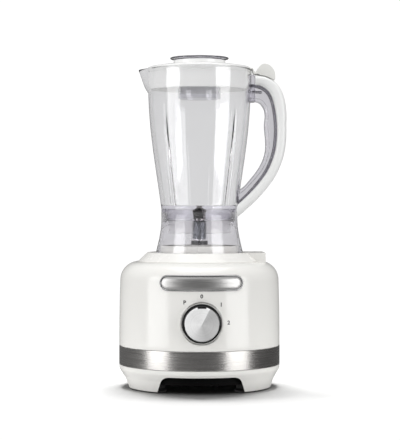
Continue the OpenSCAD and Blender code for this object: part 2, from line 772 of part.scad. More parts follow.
// A pair of wings on a hub, turned to angle a; span is each wing's length beyond the hub
module blade_pair(z, a, bend, span) rotate([0, 0, a]) difference() {
    union() {
        disc(blade_hub_r, z, z + blade_t);
        for (s = [0, 180]) rotate([0, 0, s]) translate([blade_hub_r - 0.4, 0, z]) rotate([0, bend, 0])
            linear_extrude(blade_t) polygon([
                [0, -5.5], [span * 0.5, -7], [span + 1, 1], [span - 1, 4], [span * 0.4, 6], [0, 5.5]
            ]);
    }
    disc(blade_shaft_r + run / 2, z - 20, z + 30);
}

module lower_blade() color("silver") blade_pair(blade_z, 12, 8, blade_reach - blade_hub_r);

module upper_blade() color("silver")
    blade_pair(blade_z + blade_t + e, 82, -42, 0.8 * blade_reach - blade_hub_r + 1);

module blade_nut() color("silver") difference() {
    revolve([
        [0, nut_z], [blade_shaft_r + 2.2, nut_z], [blade_shaft_r + 2.2, nut_z + 4.8],
        [blade_shaft_r + 1, nut_z + 8], [blade_shaft_r - 1.6, nut_z + 10.6], [0, nut_z + 11.4]
    ]);
    disc(blade_shaft_r, nut_z - 1, nut_z + 6);
}

module shaft_clip() color("silver") difference() {
    ring(blade_shaft_r, blade_shaft_r + 2.4, bush_z - 1.2, bush_z - 0.3);
    block([blade_shaft_r + 2, 0, bush_z - 1], [5, 2, 3]);
}

module driven_dog() color("gainsboro") difference() {
    union() {
        disc(drive_r, driven_z, driven_z + driven_h);
        dogs(dog_z + 1, driven_z + e, 60);
    }
    disc(blade_shaft_r, driven_z + 1, driven_z + driven_h + 1);
}

// A round nut with two spanner flats, clamping the coupling on the shaft
module coupling_nut() color("black") difference() {
    ring(blade_shaft_r, drive_r - 2.5, driven_z + driven_h, driven_z + driven_h + 4.6);
    for (s = [-1, 1]) block([0, s * (drive_r - 1), driven_z + driven_h + 3.6], [2 * drive_r, 4, 4]);
}

// ---- lid ----

gasket_z = rim_z - lid_depth + 6;

module lid() color("white") difference() {
    revolve([
        [lid_r - 0.5, rim_z - lid_depth], [lid_r, rim_z - lid_depth + 2], [lid_r, rim_z], [lip_r, rim_z],
        [lip_r, rim_z + 1.4], [lip_r - 3, rim_z + 2.8], [lid_mid_r, lid_top - 1.2], [upstand_r, lid_top],
        [upstand_r, upstand_z], [cup_hole_r, upstand_z], [cup_hole_r, lid_top - 12],
        [cup_hole_r + 2, lid_top - 12], [cup_hole_r + 2, lid_top - lid_wall],
        [lid_mid_r, lid_top - 1.2 - lid_wall],
        [lid_r - lid_wall, rim_z], [lid_r - lid_wall, rim_z - lid_depth]
    ]);
    ring(lid_r - 1, lid_r + 1, gasket_z, gasket_z + 3);
}

module lid_gasket() color("lightgray") ring(lid_r - 1, lid_r + 0.35, gasket_z, gasket_z + 3);

// Outline of the lock tab: from the lid's lip, over the rim, up and round the thumb dome
tab_w = 18;
tab_line = [
    [-2.6, 1.6], [0.8, 1.2], [3.4, -3], [6, -1.4], [9.2, 3.6], [13, 6.2],
    [17.5, 6.4], [22, 4.2], [25.6, 0.4], [27.4, -3.4], [28.2, -9]
];
tab_foot = -12.5;
module lid_lock_tab() color("ivory") difference() {
    translate([jar_r, tab_w / 2, rim_z]) rotate([90, 0, 0]) linear_extrude(tab_w) polygon(concat(
        through(tab_line, 3),
        [[27.6, tab_foot], [16, tab_foot], [8, tab_floor - rim_z], [2.2, tab_floor - rim_z]],
        [[1.4, -3], [0.8, 0.1], [-2.6, 0.1]]
    ));
    disc(lip_r, rim_z - 20, rim_z + 20);
    cover_shape(0.5, cover_w);
}

module measuring_cap() color("lightgray") {
    ring(cup_r - cup_wall, cup_r, upstand_z - cup_depth, upstand_z + 1);
    revolve([
        [0, upstand_z + 0.6], [cap_flange_r - 5, upstand_z + 0.6],
        [cap_flange_r - 0.8, upstand_z + 1.6], [cap_flange_r, upstand_z + 2.3],
        [cap_flange_r, upstand_z + 2.9], [cap_flange_r - 0.8, upstand_z + 3.4],
        [cap_flange_r - 5, upstand_z + 3.6], [0, upstand_z + 4.4]
    ]);
    ring(cup_r - cup_wall, upstand_r - 1, upstand_z, upstand_z + 1);
}

base_housing();
trim_band();
plinth();
base_pan();
rubber_feet();
base_screws();
lock_collar();
badge_frame();
badge_plate();
rotary_switch();
cord_gland();
speed_board();
stator_core();
field_coils();
upper_bracket();
lower_bracket();
upper_bearing();
lower_bearing();
motor_bushes();
motor_screws();
brush_holders();
carbon_brushes();
interlock_switch();
plunger_spring();
interlock_plunger();
seat_ring();
knob_body();
knob_cap();
knob_pointer();
switch_spindle();
motor_shaft();
armature_core();
armature_windings();
commutator();
cooling_fan();
drive_dog();
goblet();
handle_frame();
handle_cover();
handle_screws();
jar_skirt();
blade_carrier();
carrier_seal();
blade_bush();
shaft_seal();
blade_shaft();
blade_spacer();
lower_blade();
upper_blade();
blade_nut();
shaft_clip();
coupling_nut();
driven_dog();
lid();
lid_gasket();
lid_lock_tab();
measuring_cap();
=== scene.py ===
"""Looks for the countertop blender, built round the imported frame: metres, +Z up, knob at -Y, handle at +X."""

import math

import bmesh
import bpy
from mathutils import Matrix, Vector


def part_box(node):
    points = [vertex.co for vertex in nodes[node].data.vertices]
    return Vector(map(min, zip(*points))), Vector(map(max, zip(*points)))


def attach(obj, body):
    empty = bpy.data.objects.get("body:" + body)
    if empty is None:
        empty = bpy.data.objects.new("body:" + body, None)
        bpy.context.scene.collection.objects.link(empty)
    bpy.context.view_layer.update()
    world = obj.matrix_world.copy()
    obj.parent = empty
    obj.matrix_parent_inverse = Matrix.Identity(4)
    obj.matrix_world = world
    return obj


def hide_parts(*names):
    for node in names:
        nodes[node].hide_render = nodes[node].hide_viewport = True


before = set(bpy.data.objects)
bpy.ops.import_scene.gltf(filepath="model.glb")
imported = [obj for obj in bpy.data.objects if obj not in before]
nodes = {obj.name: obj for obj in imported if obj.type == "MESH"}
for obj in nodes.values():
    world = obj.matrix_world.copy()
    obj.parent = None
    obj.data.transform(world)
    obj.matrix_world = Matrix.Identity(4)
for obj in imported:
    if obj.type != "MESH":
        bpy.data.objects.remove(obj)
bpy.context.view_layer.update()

MM = 0.001
scene = bpy.context.scene


def low(node):
    """The lowest corner of a node's box at rest, in millimetres."""
    return [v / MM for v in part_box(node)[0]]


def high(node):
    """The highest corner of a node's box at rest, in millimetres."""
    return [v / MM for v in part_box(node)[1]]


# ---- sizes, in millimetres, read from the frame ----

BODY_R = max(high("plinth")[0], high("base_housing")[0])
DECK_Z = high("base_housing")[2]
BAND_Z, BAND_TOP = low("trim_band")[2], high("trim_band")[2]
KNOB_Z = (low("knob_body")[2] + high("knob_body")[2]) / 2
KNOB_R = (high("knob_cap")[0] - low("knob_cap")[0]) / 2
KNOB_FRONT, KNOB_SEAT = -low("knob_cap")[1], -high("knob_cap")[1]  # how far forward its face and its back are
JOINT_Z = high("jar_skirt")[2]
RIM_Z = high("goblet")[2]
JAR_Z = low("jar_skirt")[2]
JAR_R = high("goblet")[1]
GOBLET_H = RIM_Z - JOINT_Z
JAR_WALL = 3.0
WAIST_R = 45.6
SKIRT_R = 51.8

# Stands up what was made flat, so that it is seen from the front
FACE_FRONT = Matrix.Rotation(math.radians(90), 4, "X")


# ---- curves ----

def bezier(a, b, c, d, n):
    out = []
    for i in range(n + 1):
        t = i / n
        u = 1 - t
        out.append(tuple(
            u**3 * p + 3 * u * u * t * q + 3 * u * t * t * r + t**3 * s
            for p, q, r, s in zip(a, b, c, d)))
    return out


def through(points, n):
    """A smooth curve through the points, n steps to each stretch."""
    out = []
    for k in range(len(points) - 1):
        a, b = points[max(k - 1, 0)], points[k]
        c, d = points[k + 1], points[min(k + 2, len(points) - 1)]
        for i in range(n):
            t = i / n
            out.append(tuple(
                0.5 * (2 * q + (r - p) * t + (2 * p - 5 * q + 4 * r - s) * t * t
                       + (3 * q - p - 3 * r + s) * t**3)
                for p, q, r, s in zip(a, b, c, d)))
    out.append(tuple(points[-1]))
    return out


def rounded(points, steps=5):
    """A closed outline from corners (x, y) or (x, y, radius), the last with its corner rounded."""
    out = []
    for i, corner in enumerate(points):
        here = Vector(corner[:2])
        radius = corner[2] if len(corner) > 2 else 0
        before = Vector(points[i - 1][:2]) - here
        after = Vector(points[(i + 1) % len(points)][:2]) - here
        if radius <= 0 or before.length < 1e-9 or after.length < 1e-9:
            out.append(tuple(here))
            continue
        half = before.angle(after) / 2
        reach = min(radius / math.tan(half), 0.49 * before.length, 0.49 * after.length)
        start, end = here + before.normalized() * reach, here + after.normalized() * reach
        for k in range(steps + 1):
            t = k / steps
            out.append(tuple((1 - t) ** 2 * start + 2 * t * (1 - t) * here + t * t * end))
    return out


# ---- meshes ----

def add_mesh(name, bm, smooth=True):
    bmesh.ops.remove_doubles(bm, verts=bm.verts, dist=1e-7)
    bmesh.ops.recalc_face_normals(bm, faces=bm.faces)
    mesh = bpy.data.meshes.new(name)
    bm.to_mesh(mesh)
    bm.free()
    for face in mesh.polygons:
        face.use_smooth = smooth
    piece = bpy.data.objects.new(name, mesh)
    scene.collection.objects.link(piece)
    return piece


def lathe(name, profile, steps=288, shape=None, along=None):
    """A closed outline of (radius, height) in millimetres, turned about Z.

    shape(angle, r, z) may move each point, and along places the whole.
    """
    bm = bmesh.new()
    rings = []
    for i in range(steps):
        a = 2 * math.pi * i / steps
        ring = []
        for r, z in profile:
            if shape:
                r, z = shape(a, r, z)
            ring.append(bm.verts.new((r * math.cos(a) * MM, r * math.sin(a) * MM, z * MM)))
        rings.append(ring)
    count = len(profile)
    for i in range(steps):
        one, two = rings[i], rings[(i + 1) % steps]
        for k in range(count):
            j = (k + 1) % count
            if profile[k][0] < 1e-9 and profile[j][0] < 1e-9:
                continue
            corners = [one[k], two[k], two[j], one[j]]
            if profile[k][0] < 1e-9:
                corners.pop(1)
            elif profile[j][0] < 1e-9:
                corners.pop(2)
            bm.faces.new(corners)
    if along is not None:
        bmesh.ops.transform(bm, matrix=along, verts=bm.verts)
    return add_mesh(name, bm)


def slab(name, outline, depth, place):
    """A flat outline in millimetres made depth thick, then placed."""
    bm = bmesh.new()
    back = [bm.verts.new((x * MM, y * MM, -depth / 2 * MM)) for x, y in outline]
    front = [bm.verts.new((x * MM, y * MM, depth / 2 * MM)) for x, y in outline]
    bm.faces.new(back)
    bm.faces.new(front)
    for i in range(len(outline)):
        j = (i + 1) % len(outline)
        bm.faces.new((back[i], back[j], front[j], front[i]))
    bmesh.ops.transform(bm, matrix=place, verts=bm.verts)
    return add_mesh(name, bm, smooth=False)


def sweep(name, centres, sections):
    """Joins closed rings of points, one for each centre, and closes both ends. All in millimetres."""
    bm = bmesh.new()
    rings = [[bm.verts.new([v * MM for v in p]) for p in section] for section in sections]
    for one, two in zip(rings, rings[1:]):
        for k in range(len(one)):
            j = (k + 1) % len(one)
            bm.faces.new((one[k], one[j], two[j], two[k]))
    for ring, centre in ((rings[0], centres[0]), (rings[-1], centres[-1])):
        middle = bm.verts.new([v * MM for v in centre])
        for k in range(len(ring)):
            bm.faces.new((ring[k], ring[(k + 1) % len(ring)], middle))
    return add_mesh(name, bm)


def settle(piece):
    """Turns a piece's modifiers into mesh."""
    bpy.context.view_layer.update()
    done = bpy.data.meshes.new_from_object(piece.evaluated_get(bpy.context.evaluated_depsgraph_get()))
    piece.modifiers.clear()
    piece.data = done


def cut(piece, *tools):
    for tool in tools:
        step = piece.modifiers.new("cut", "BOOLEAN")
        step.operation = "DIFFERENCE"
        step.solver = "EXACT"
        step.object = tool
    settle(piece)
    for tool in tools:
        bpy.data.objects.remove(tool)


def even(piece):
    """Shading led by the larger faces, so that flat ones look flat."""
    piece.modifiers.new("normals", "WEIGHTED_NORMAL").keep_sharp = True


def soften(piece, width=0.3, segments=3, angle=35):
    """Small round edges, in millimetres, and flat faces kept flat."""
    step = piece.modifiers.new("edges", "BEVEL")
    step.width = width * MM
    step.segments = segments
    step.limit_method = "ANGLE"
    step.angle_limit = math.radians(angle)
    step.use_clamp_overlap = True
    even(piece)


def wear(piece, material, body, slot, *replaced):
    """Gives a new piece its material and its body, and hides the nodes that it stands for. slot is not used."""
    piece.data.materials.clear()
    piece.data.materials.append(material)
    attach(piece, body)
    if replaced:
        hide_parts(*replaced)
    return piece


# ---- materials ----

def new_material(name):
    material = bpy.data.materials.new(name)
    material.use_nodes = True
    tree = material.node_tree
    return material, tree, tree.nodes["Principled BSDF"]


def noise(tree, scale, stretch=(1, 1, 1), detail=3, rough=0.5):
    where = tree.nodes.new("ShaderNodeTexCoord")
    fit = tree.nodes.new("ShaderNodeMapping")
    fit.inputs["Scale"].default_value = stretch
    texture = tree.nodes.new("ShaderNodeTexNoise")
    texture.inputs["Scale"].default_value = scale
    texture.inputs["Detail"].default_value = detail
    texture.inputs["Roughness"].default_value = rough
    tree.links.new(where.outputs["Object"], fit.inputs["Vector"])
    tree.links.new(fit.outputs["Vector"], texture.inputs["Vector"])
    return texture.outputs["Fac"]


NOISE_SPAN = (0.3, 0.7)  # nearly all of a noise's values lie in it


def spread(tree, value, lowest, highest):
    fit = tree.nodes.new("ShaderNodeMapRange")
    fit.inputs["From Min"].default_value, fit.inputs["From Max"].default_value = NOISE_SPAN
    fit.inputs["To Min"].default_value, fit.inputs["To Max"].default_value = lowest, highest
    tree.links.new(value, fit.inputs["Value"])
    return fit.outputs["Result"]


def blend_colours(tree, value, dark, light):
    ramp = tree.nodes.new("ShaderNodeValToRGB")
    ramp.color_ramp.elements[0].color = (*dark, 1)
    ramp.color_ramp.elements[1].color = (*light, 1)
    ramp.color_ramp.elements[0].position, ramp.color_ramp.elements[1].position = NOISE_SPAN
    tree.links.new(value, ramp.inputs["Fac"])
    return ramp.outputs["Color"]


def bumps(tree, shader, value, height, distance=0.0002):
    node = tree.nodes.new("ShaderNodeBump")
    node.inputs["Strength"].default_value = height
    node.inputs["Distance"].default_value = distance
    tree.links.new(value, node.inputs["Height"])
    tree.links.new(node.outputs["Normal"], shader.inputs["Normal"])


ROUGH_SPAN = 0.04
BRUSH_DARK = 0.8


def finish_of(name, colour, rough, shade=0.94, grain=60, ripple=0.03, stretch=(1, 1, 1), **sockets):
    """A material whose colour, roughness and surface all vary a little."""
    material, tree, shader = new_material(name)
    broad = noise(tree, 14, stretch)
    fine = noise(tree, grain, stretch, detail=6, rough=0.6)
    darker = tuple(c * shade for c in colour)
    tree.links.new(blend_colours(tree, broad, darker, colour), shader.inputs["Base Color"])
    tree.links.new(spread(tree, fine, rough - ROUGH_SPAN, rough + ROUGH_SPAN), shader.inputs["Roughness"])
    bumps(tree, shader, fine, ripple)
    for socket, value in sockets.items():
        shader.inputs[socket.replace("_", " ")].default_value = value
    return material


def clear(name, colour, rough, ior, absorb=0, coat=0):
    """Clear moulded plastic: a slight haze, faint flow lines and a grey-lilac depth.

    Walls that are thick and nested take a lower ior than real plastic has, which bends what is behind them
    less, and a coat that keeps the shine.
    """
    material, tree, shader = new_material(name)
    haze = noise(tree, 30, (1, 1, 0.4), detail=4)
    tree.links.new(spread(tree, haze, rough * 0.6, rough * 1.5), shader.inputs["Roughness"])
    darker = tuple(c * 0.985 for c in colour)
    tree.links.new(blend_colours(tree, haze, darker, colour), shader.inputs["Base Color"])
    bumps(tree, shader, noise(tree, 55, (1, 1, 0.25)), 0.03, 0.0004)
    shader.inputs["Transmission Weight"].default_value = 1
    shader.inputs["IOR"].default_value = ior
    shader.inputs["Coat Weight"].default_value = coat
    shader.inputs["Coat Roughness"].default_value = 0.06
    if absorb:
        depth = tree.nodes.new("ShaderNodeVolumeAbsorption")
        depth.inputs["Color"].default_value = (0.3, 0.28, 0.36, 1)
        depth.inputs["Density"].default_value = absorb
        tree.links.new(depth.outputs["Volume"], tree.nodes["Material Output"].inputs["Volume"])
    return material


def brushed(name, colour, rough, stretch, scale, anisotropic=0.0, ripple=0.12):
    """Metal with fine brush lines: stretch squeezes the noise along the lines."""
    material, tree, shader = new_material(name)
    lines = noise(tree, scale, stretch, detail=8, rough=0.7)
    darker = tuple(c * BRUSH_DARK for c in colour)
    tree.links.new(blend_colours(tree, lines, darker, colour), shader.inputs["Base Color"])
    tree.links.new(spread(tree, lines, rough - 0.06, rough + 0.08), shader.inputs["Roughness"])
    bumps(tree, shader, lines, ripple, 0.0001)
    shader.inputs["Metallic"].default_value = 1
    shader.inputs["Anisotropic"].default_value = anisotropic
    return material


WHITE = (0.83, 0.822, 0.795)
white_gloss = finish_of("white_gloss", WHITE, 0.17, shade=0.985, ripple=0.015, IOR=1.5)
white_satin = finish_of("white_satin", WHITE, 0.26, shade=0.98, ripple=0.03)
handle_white = finish_of("handle_white", (0.88, 0.885, 0.88), 0.2, shade=0.985, ripple=0.015)
lid_white = finish_of("lid_white", (0.87, 0.87, 0.865), 0.16, shade=0.985, ripple=0.015)
tab_white = finish_of("tab_white", (0.86, 0.86, 0.83), 0.3, shade=0.985, ripple=0.02)
band_steel = brushed("band_steel", (0.55, 0.535, 0.52), 0.235, (1, 1, 60), 26, anisotropic=0.35)
badge_chrome = finish_of("badge_chrome", (0.3, 0.3, 0.305), 0.16, Metallic=1)
badge_satin = brushed("badge_satin", (0.52, 0.515, 0.51), 0.38, (1, 1, 30), 60, ripple=0.06)
pan_black = finish_of("pan_black", (0.003, 0.003, 0.003), 0.6, shade=0.8, grain=300, ripple=0.1, IOR=1.15)
rubber_black = finish_of("rubber_black", (0.018, 0.018, 0.018), 0.62, shade=0.75, grain=500, ripple=0.3)
knob_black = finish_of("knob_black", (0.008, 0.008, 0.009), 0.14, shade=0.8, ripple=0.02)
jar_clear = clear("jar_clear", (0.985, 0.985, 0.99), 0.035, 1.45, absorb=9)
skirt_clear = clear("skirt_clear", (0.95, 0.945, 0.965), 0.2, 1.04, absorb=9, coat=1)
neck_clear = clear("neck_clear", (0.96, 0.955, 0.985), 0.05, 1.06, absorb=24, coat=0.6)
# Darker clear plastic for the strip along the handle's spine: painted shade for the shadow line there.
shade_line_clear = clear("shade_line_clear", (0.42, 0.41, 0.45), 0.2, 1.2)
carrier_frost = clear("carrier_frost", (0.92, 0.915, 0.92), 0.34, 1.08)
handle_clear = clear("handle_clear", (0.76, 0.75, 0.79), 0.1, 1.42)
cap_clear = clear("cap_clear", (0.88, 0.88, 0.9), 0.04, 1.49, absorb=60)
blade_steel = brushed("blade_steel", (0.2, 0.19, 0.185), 0.28, (1, 1, 8), 60, ripple=0.05)
plain_steel = finish_of(
    "plain_steel", (0.56, 0.56, 0.57), 0.28, shade=0.85, grain=120, ripple=0.08, Metallic=1)
core_steel = finish_of("core_steel", (0.2, 0.21, 0.23), 0.45, stretch=(1, 1, 40), ripple=0.3, Metallic=1)
cast_metal = finish_of("cast_metal", (0.6, 0.6, 0.61), 0.5, grain=400, ripple=0.3, Metallic=1)
copper = finish_of(
    "copper", (0.62, 0.27, 0.12), 0.34, stretch=(1, 1, 25), shade=0.7, ripple=0.4, Metallic=1)
dark_plastic = finish_of("dark_plastic", (0.04, 0.04, 0.045), 0.42, shade=0.8, grain=200, ripple=0.1)
nylon = finish_of("nylon", (0.76, 0.75, 0.73), 0.38, shade=0.95, grain=120, ripple=0.06)
nylon_red = finish_of("nylon_red", (0.72, 0.16, 0.05), 0.38, grain=120, ripple=0.06)
board = finish_of("board", (0.03, 0.15, 0.06), 0.35, shade=0.8, grain=90, ripple=0.1)
carbon = finish_of("carbon", (0.03, 0.03, 0.03), 0.55, grain=500, ripple=0.3, Metallic=0.3)


# The fan of light on the turned face is part of its colour and turns with the knob, whatever the lights do.
# Each pair is a share of a turn, from 9 o'clock by way of 6, and the brightness there.
KNOB_FAN = ((0.001, 0.95), (0.12, 0.86), (0.2, 0.66), (0.3, 0.52), (0.45, 0.6), (0.6, 0.5), (0.668, 0.54),
            (0.68, 0.97), (0.75, 0.9), (0.88, 0.86), (0.999, 0.95))


def spun_metal():
    """Turned aluminium: rings round the knob's axis, and KNOB_FAN."""
    material, tree, shader = new_material("knob_metal")
    where = tree.nodes.new("ShaderNodeTexCoord")
    move = tree.nodes.new("ShaderNodeMapping")
    move.vector_type = "POINT"
    move.inputs["Location"].default_value = (0, 0, -KNOB_Z * MM)
    split = tree.nodes.new("ShaderNodeSeparateXYZ")
    flat = tree.nodes.new("ShaderNodeCombineXYZ")
    far = tree.nodes.new("ShaderNodeVectorMath")
    far.operation = "LENGTH"
    tree.links.new(where.outputs["Object"], move.inputs["Vector"])
    tree.links.new(move.outputs["Vector"], split.inputs["Vector"])
    tree.links.new(split.outputs["X"], flat.inputs["X"])
    tree.links.new(split.outputs["Z"], flat.inputs["Z"])
    tree.links.new(flat.outputs["Vector"], far.inputs[0])
    rings = tree.nodes.new("ShaderNodeTexNoise")
    rings.noise_dimensions = "1D"
    rings.inputs["Scale"].default_value = 2600
    rings.inputs["Detail"].default_value = 4
    tree.links.new(far.outputs["Value"], rings.inputs["W"])
    tree.links.new(spread(tree, rings.outputs["Fac"], 0.26, 0.36), shader.inputs["Roughness"])
    face = tree.nodes.new("ShaderNodeCombineXYZ")
    tree.links.new(split.outputs["X"], face.inputs["X"])
    tree.links.new(split.outputs["Z"], face.inputs["Y"])
    sweep_round = tree.nodes.new("ShaderNodeTexGradient")
    sweep_round.gradient_type = "RADIAL"
    tree.links.new(face.outputs["Vector"], sweep_round.inputs["Vector"])
    fan = tree.nodes.new("ShaderNodeValToRGB")
    stops = fan.color_ramp.elements
    for place, level in KNOB_FAN:
        stops.new(place).color = (level, level, level, 1)
    stops.remove(stops[-1])
    stops.remove(stops[0])
    tree.links.new(sweep_round.outputs["Fac"], fan.inputs["Fac"])
    both = tree.nodes.new("ShaderNodeMix")
    both.data_type = "RGBA"
    both.blend_type = "MULTIPLY"
    both.inputs["Factor"].default_value = 1
    ringed = blend_colours(tree, rings.outputs["Fac"], (0.92, 0.92, 0.925), (1, 1, 1))
    tree.links.new(ringed, both.inputs[6])
    tree.links.new(fan.outputs["Color"], both.inputs[7])
    tree.links.new(both.outputs[2], shader.inputs["Base Color"])
    turn = tree.nodes.new("ShaderNodeTangent")
    turn.direction_type = "RADIAL"
    turn.axis = "Y"
    tree.links.new(turn.outputs["Tangent"], shader.inputs["Tangent"])
    shader.inputs["Metallic"].default_value = 0.12
    shader.inputs["Anisotropic"].default_value = 0.7
    return material


knob_metal = spun_metal()


# ---- base ----

WALL = 2.8
BULGE_Z, SHOULDER_Z = 60, DECK_Z - 22
TAPER = 1.2
COLLAR_FOOT_R = -low("lock_collar")[1]
DECK_R = COLLAR_FOOT_R - 0.2
SHOULDER_R = BODY_R - TAPER - DECK_R
BULGE_R = ((SHOULDER_Z - BULGE_Z) ** 2 + TAPER**2) / (2 * TAPER)


def body_radius(z):
    """Outer radius of the housing at a height below its shoulder."""
    if z <= BULGE_Z:
        return BODY_R
    if z <= SHOULDER_Z:
        return BODY_R - BULGE_R + math.sqrt(BULGE_R**2 - (z - BULGE_Z) ** 2)
    rise = min(1, (z - SHOULDER_Z) / (DECK_Z - SHOULDER_Z))
    return DECK_R + SHOULDER_R * math.sqrt(1 - rise**2)


def on_body(x, z, proud):
    """A point on the front of the housing, x across and z up, standing proud of it. Millimetres."""
    r = body_radius(z)
    a = math.asin(x / r)
    slope = 0
    if z > SHOULDER_Z:
        slope = math.asin(min(1, (z - SHOULDER_Z) / (DECK_Z - SHOULDER_Z)))
    out = r + proud * math.cos(slope)
    return out * math.sin(a), -out * math.cos(a), z + proud * math.sin(slope)


def front_matrix(z):
    """Stands something made about +Z so that it faces the front, at a height."""
    return Matrix.Translation((0, 0, z * MM)) @ FACE_FRONT


def housing_profile():
    foot = BAND_TOP + 0.9
    side = [(body_radius(z), z) for z in [foot + i * (SHOULDER_Z - foot) / 16 for i in range(16)]]
    bend = [(DECK_R + SHOULDER_R * math.cos(a), SHOULDER_Z + (DECK_Z - SHOULDER_Z) * math.sin(a))
            for a in [math.radians(5 * i) for i in range(19)]]
    overlap_z, pocket_r = BAND_TOP - 6, BODY_R - 1.4
    inside = [(DECK_R - 6, DECK_Z - WALL), (DECK_R + 8, DECK_Z - WALL), (BODY_R - TAPER - WALL, SHOULDER_Z),
              (BODY_R - WALL, overlap_z), (pocket_r, overlap_z), (pocket_r, BAND_TOP + 0.25)]
    lip = [(BODY_R - 0.9, BAND_TOP + 0.2), (BODY_R - 0.35, BAND_TOP + 0.35)]
    return lip + side + bend + [(DECK_R - 6, DECK_Z)] + inside


SEAT_Y = KNOB_SEAT - 3.3  # heights along the knob's axis are counted outwards from the body's axis
RING_R = high("knob_body")[0]
SEAT_IN, SEAT_OUT = RING_R + 0.6, RING_R + 2.9
SPINDLE_HOLE_R = 5.2


def make_housing():
    shell = lathe("housing_shell", housing_profile(), 360)
    clear_y = BODY_R + 20
    mouth = rounded([(0, SEAT_Y), (SEAT_OUT - 0.7, SEAT_Y, 0.6), (SEAT_OUT + 0.1, clear_y), (0, clear_y)])
    cut(shell, lathe("tool", mouth, 160, along=front_matrix(KNOB_Z)))
    even(shell)
    wear(shell, white_gloss, "base", "white_gloss", "base_housing")
    seat = rounded([
        (SEAT_IN, SEAT_Y - 2), (SEAT_OUT, SEAT_Y - 4), (SEAT_OUT, SEAT_Y, 0.5), (SEAT_IN, SEAT_Y, 0.5)])
    ring = lathe("knob_seat", seat, 200, along=front_matrix(KNOB_Z))
    even(ring)
    wear(ring, white_gloss, "base", "white_gloss")
    # The recess floor round the knob belongs to the white housing; it is drawn knob black as painted shade in
    # the gap between knob and seat.
    back, front, disc_r = SEAT_Y - 2.2, SEAT_Y - 1.1, RING_R + 0.8
    disc = rounded([(SPINDLE_HOLE_R, back), (disc_r, back), (disc_r, front), (SPINDLE_HOLE_R, front)])
    plate = lathe("knob_recess_painted_shade", disc, 160, along=front_matrix(KNOB_Z))
    wear(plate, knob_black, "base", "white_gloss")


def make_band():
    band = lathe("steel_band", rounded([
        (BODY_R - 1.1, BAND_Z + 0.15), (BODY_R + 0.1, BAND_Z + 0.15, 0.35),
        (BODY_R + 0.1, BAND_TOP, 0.35), (BODY_R - 1.1, BAND_TOP)]), 360)
    even(band)
    wear(band, band_steel, "base", "band_steel", "trim_band")


LEG_R = BODY_R - 9.5
LEG_Z = low("plinth")[2]
LEG_TOP_Z = BAND_Z - 14.2
LEDGE_Z, LEDGE_R = BAND_Z - 8, BODY_R - 5
ARCH_SLOPE, ARCH_ROUND = 6.3, 11
FRONT_ARCH, SIDE_ARCH = 45, 20


def arch_tool(half, top_z, side, turn):
    """Cuts an arch 2 * half wide at its top through one side of the plinth; turn moves it round."""
    outline = rounded([(-half - ARCH_SLOPE, -1), (half + ARCH_SLOPE, -1), (half, top_z, ARCH_ROUND),
                       (-half, top_z, ARCH_ROUND)], 8)
    place = Matrix.Rotation(turn, 4, "Z") @ Matrix.Translation((0, side * BODY_R * MM * 0.75, 0))
    return slab("tool", outline, BODY_R * 0.7, place @ FACE_FRONT)


def make_plinth():
    outer = bezier((BODY_R - 0.1, BAND_Z - 4.2), (BODY_R - 1.0, BAND_Z - 7), (BODY_R - 3.4, BAND_Z - 9.5),
                   (LEG_R + 3.9, LEG_TOP_Z), 10)
    ring = [(BODY_R - 0.5, BAND_Z), (BODY_R, BAND_Z - 0.5)] + outer + rounded([
        (LEG_R + 0.5, LEG_Z, 0.8), (LEG_R - 2.5, LEG_Z, 0.4), (LEG_R, LEG_TOP_Z), (LEG_R, LEDGE_Z),
        (LEDGE_R, LEDGE_Z), (LEDGE_R, BAND_Z)])
    plinth = lathe("foot_ring", ring, 320)
    cut(plinth, *[arch_tool(FRONT_ARCH, LEDGE_Z + 0.2, side, 0) for side in (-1, 1)])
    cut(plinth, *[arch_tool(SIDE_ARCH, BAND_Z - 13, side, math.radians(90)) for side in (-1, 1)])
    soften(plinth, 0.5, 2, 40)
    wear(plinth, white_gloss, "base", "plinth_white", "plinth")


BADGE_W, BADGE_H = high("badge_frame")[0] * 2, high("badge_frame")[2] - low("badge_frame")[2]
BADGE_Z = (high("badge_frame")[2] + low("badge_frame")[2]) / 2
ROUND_STEPS, STRAIGHT_STEPS = 28, 30


def pill(width, height):
    """Points round a pill, anticlockwise from the lower right, its straight sides in steps too."""
    r = height / 2
    out = []
    for side, start in ((1, -90), (-1, 90)):
        for i in range(ROUND_STEPS + 1):
            a = math.radians(start + 180 * i / ROUND_STEPS)
            out.append((side * (width / 2 - r) + r * math.cos(a), r * math.sin(a)))
        (x, z), far_x = out[-1], -side * (width / 2 - r)
        out += [(x + (far_x - x) * k / STRAIGHT_STEPS, z) for k in range(1, STRAIGHT_STEPS)]
    return out


def badge_skin(name, rings, close_middle):
    """Pill-shaped rings of (inset, height off the housing), joined in turn."""
    bm = bmesh.new()
    made = [[bm.verts.new([v * MM for v in on_body(x, BADGE_Z + z, proud)])
             for x, z in pill(BADGE_W - 2 * inset, BADGE_H - 2 * inset)] for inset, proud in rings]
    pairs = list(zip(made, made[1:]))
    if not close_middle:
        pairs.append((made[-1], made[0]))
    for one, two in pairs:
        for k in range(len(one)):
            j = (k + 1) % len(one)
            bm.faces.new((one[k], one[j], two[j], two[k]))
    return add_mesh(name, bm)


def make_badge():
    sunk, plate_in = -1.2, 1.85
    bezel = badge_skin("badge_bezel", [
        (0, sunk), (0, 0.45), (0.12, 0.8), (0.4, 1.05), (0.8, 1.15), (1.2, 1.05), (1.5, 0.75), (1.7, 0.2),
        (1.75, sunk)], False)
    wear(bezel, badge_chrome, "base", "badge_bezel", "badge_frame")
    half = BADGE_H / 2 - plate_in
    crown = [(plate_in + half * t, 0.05 + 0.55 * math.sin(math.radians(90) * min(1, t * 2.2)))
             for t in [0, 0.04, 0.09, 0.16, 0.25, 0.36, 0.5, 0.65, 0.8, 0.92, 0.99]]
    plate = badge_skin("badge_face", [(plate_in - 0.05, sunk)] + crown, True)
    wear(plate, badge_satin, "base", "badge_metal", "badge_plate")


DIAL_MARKS = (("P", -39), ("0", 0), ("1", 46), ("2", 88.5))
DIAL_R, MARK_H, FONT_BODY = 31.0, 4.4, 1.4


